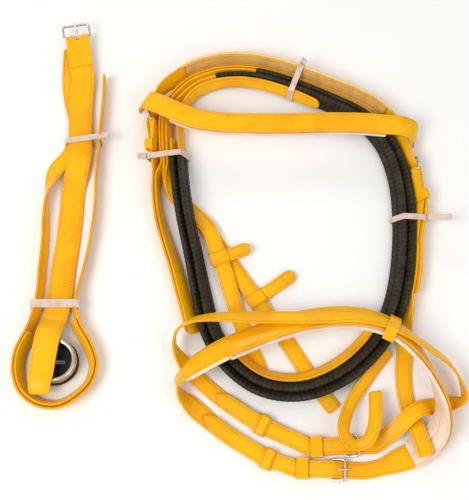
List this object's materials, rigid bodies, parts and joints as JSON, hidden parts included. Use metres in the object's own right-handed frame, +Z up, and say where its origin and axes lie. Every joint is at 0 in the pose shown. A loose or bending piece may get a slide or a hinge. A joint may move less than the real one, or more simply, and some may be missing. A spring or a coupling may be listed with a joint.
{
  "type": "snaffle bridle",
  "caption": "Snaffle bridle with rubber-grip reins coiled up and tied, its padded noseband and browband folded over them, and a tied-up martingale beside it.",
  "frame": {"origin": "the middle of the footprint, on the surface that the tied-up straps lie on", "axes": "+Z up, +X to the bridle's right with the martingale on -X, +Y towards the headpiece"},
  "size_m": [0.4452, 0.49, 0.0515],
  "materials": {
    "yellow_strap": "glossy, coated",
    "black_rubber": "ribbed, dull",
    "padding_cloth": "soft lining, quilted",
    "clear_tie": "milky, half clear",
    "nickel_steel": "polished nickel plate"
  },
  "bodies": {
    "bridle": {"bit_loop_strap": "yellow_strap", "browband": "yellow_strap", "browband_padding": "padding_cloth", "cheekpiece_left": "yellow_strap", "cheekpiece_right": "yellow_strap", "flash_buckle_frame": "nickel_steel", "flash_chape": "yellow_strap", "flash_keeper": "yellow_strap", "flash_strap": "yellow_strap", "headpiece": "yellow_strap", "headpiece_padding": "padding_cloth", "left_buckle_frame": "nickel_steel", "left_chape": "yellow_strap", "nose_loop": "yellow_strap", "noseband": "yellow_strap", "noseband_buckle_frame": "nickel_steel", "noseband_chape": "yellow_strap", "noseband_headstrap": "yellow_strap", "noseband_keeper": "yellow_strap", "noseband_padding": "padding_cloth", "rein_a": "yellow_strap", "rein_a_grip": "black_rubber", "rein_b": "yellow_strap", "rein_b_grip": "black_rubber", "right_buckle_frame": "nickel_steel", "right_chape": "yellow_strap", "throatlatch": "yellow_strap", "tie_left": "clear_tie", "tie_right": "clear_tie", "tie_top": "clear_tie"},
    "martingale": {"girth_strap": "yellow_strap", "girth_chape": "yellow_strap", "fork_strap": "yellow_strap", "neck_strap": "yellow_strap", "girth_buckle_frame": "nickel_steel", "tie_upper": "clear_tie", "tie_lower": "clear_tie", "rubber_stop": "black_rubber"},
    "left_buckle_tongue": {"left_buckle_tongue": "nickel_steel"},
    "right_buckle_tongue": {"right_buckle_tongue": "nickel_steel"},
    "noseband_buckle_tongue": {"noseband_buckle_tongue": "nickel_steel"},
    "flash_buckle_tongue": {"flash_buckle_tongue": "nickel_steel"},
    "girth_buckle_tongue": {"girth_buckle_tongue": "nickel_steel"},
    "rein_a_stop": {"rein_a_stop": "yellow_strap"},
    "rein_b_stop": {"rein_b_stop": "yellow_strap"},
    "lower_ring": {"lower_ring": "nickel_steel"},
    "upper_ring": {"upper_ring": "nickel_steel"}
  },
  "joints": [
    {"name": "martingale_lift", "type": "slide", "parent": "bridle", "child": "martingale", "axis": [0, 0, 1], "range_m": [0, 0.12]},
    {"name": "left_tongue_turn", "type": "hinge", "parent": "bridle", "child": "left_buckle_tongue", "pos_m": [-0.08772, 0.12616, 0.01325], "axis": [-0.4067, 0.008, 0.9135], "range_deg": [0, 35]},
    {"name": "right_tongue_turn", "type": "hinge", "parent": "bridle", "child": "right_buckle_tongue", "pos_m": [0.18206, 0.06988, 0.01278], "axis": [-0.5767, -0.1136, -0.809], "range_deg": [0, 35]},
    {"name": "noseband_tongue_turn", "type": "hinge", "parent": "bridle", "child": "noseband_buckle_tongue", "pos_m": [0.0887, -0.2337, 0.00315], "axis": [-0.0349, -0.9994, 0], "range_deg": [0, 35]},
    {"name": "flash_tongue_turn", "type": "hinge", "parent": "bridle", "child": "flash_buckle_tongue", "pos_m": [0.1027, -0.2117, 0.00315], "axis": [0.0349, -0.9994, 0], "range_deg": [0, 14]},
    {"name": "girth_tongue_turn", "type": "hinge", "parent": "martingale", "child": "girth_buckle_tongue", "pos_m": [-0.1753, 0.2283, 0.01215], "axis": [0.9854, 0.1701, 0], "range_deg": [0, 35]},
    {"name": "rein_a_stop_slide", "type": "slide", "parent": "bridle", "child": "rein_a_stop", "axis": [-0.3417, 0.9398, 0], "range_m": [-0.005, 0.005]},
    {"name": "rein_b_stop_slide", "type": "slide", "parent": "bridle", "child": "rein_b_stop", "axis": [-0.5711, 0.8209, 0], "range_m": [-0.005, 0.005]},
    {"name": "lower_ring_spin", "type": "hinge", "parent": "martingale", "child": "lower_ring", "pos_m": [-0.1803, -0.1297, 0.0096], "axis": [0, 0, 1], "continuous": true},
    {"name": "upper_ring_spin", "type": "hinge", "parent": "martingale", "child": "upper_ring", "pos_m": [-0.1803, -0.1297, 0.0149], "axis": [0, 0, 1], "continuous": true}
  ]
}
